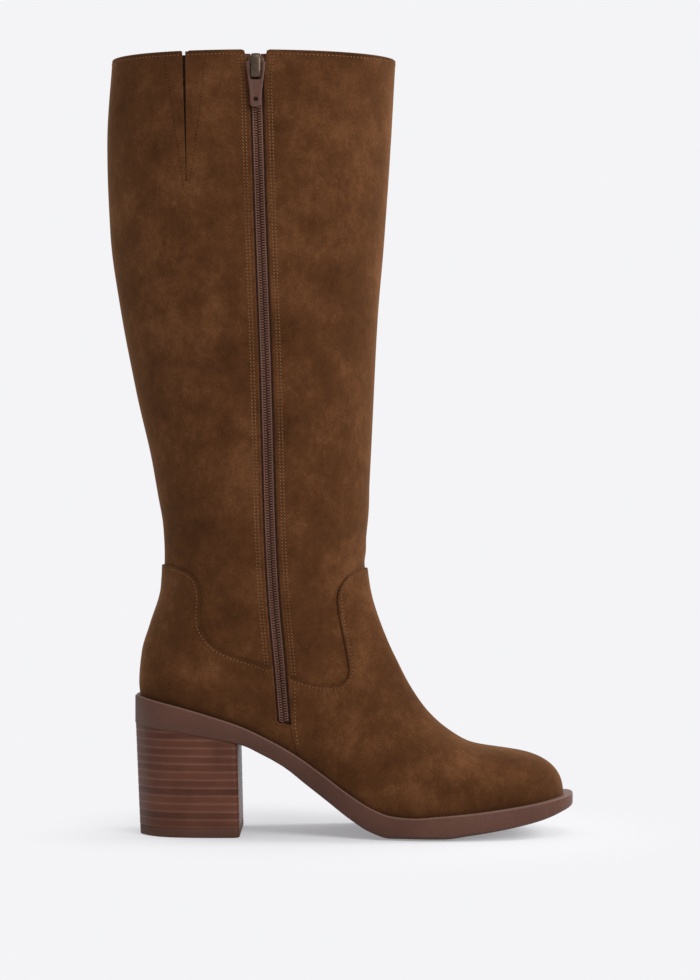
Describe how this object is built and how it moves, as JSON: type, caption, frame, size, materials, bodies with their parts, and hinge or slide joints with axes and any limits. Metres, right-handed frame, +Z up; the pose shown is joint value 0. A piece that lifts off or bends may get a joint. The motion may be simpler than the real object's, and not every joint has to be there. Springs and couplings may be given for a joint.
{
  "type": "knee-high boot",
  "caption": "Knee-high suede boot with a stacked block heel, a round toe, a full-length zip on its inner side and an elastic panel behind a slit in its collar; left foot.",
  "frame": {"origin": "on the floor, under the middle of the heel's tip and in the centre plane of the leg", "axes": "+X towards the toe, +Y towards the outer side of the foot, -Y towards the inner side with the zip, +Z up the leg"},
  "size_m": [0.2624, 0.0982, 0.435],
  "materials": {
    "suede": "brushed suede, mottled brown",
    "sole": "smooth satin brown",
    "stack": "polished stacked layers, reddish brown",
    "tip": "satin dark brown",
    "lining": "smooth matt",
    "tape": "woven tape",
    "chain": "moulded coil",
    "metal": "dark bronze, satin"
  },
  "bodies": {
    "boot": {"upper": "suede", "vamp": "suede", "counter": "suede", "outsole": "sole", "heel": "stack", "heel_tip": "tip", "insole": "lining", "zip_tape": "tape", "zip_chain": "chain", "zip_slider": "metal", "elastic_gore": "tape"},
    "pull": {"zip_pull": "metal"}
  },
  "joints": [
    {"name": "pull_swing", "type": "hinge", "parent": "boot", "child": "pull", "pos_m": [0.03732, -0.04701, 0.42751], "axis": [-1, 0, 0], "range_deg": [0, 165]}
  ]
}
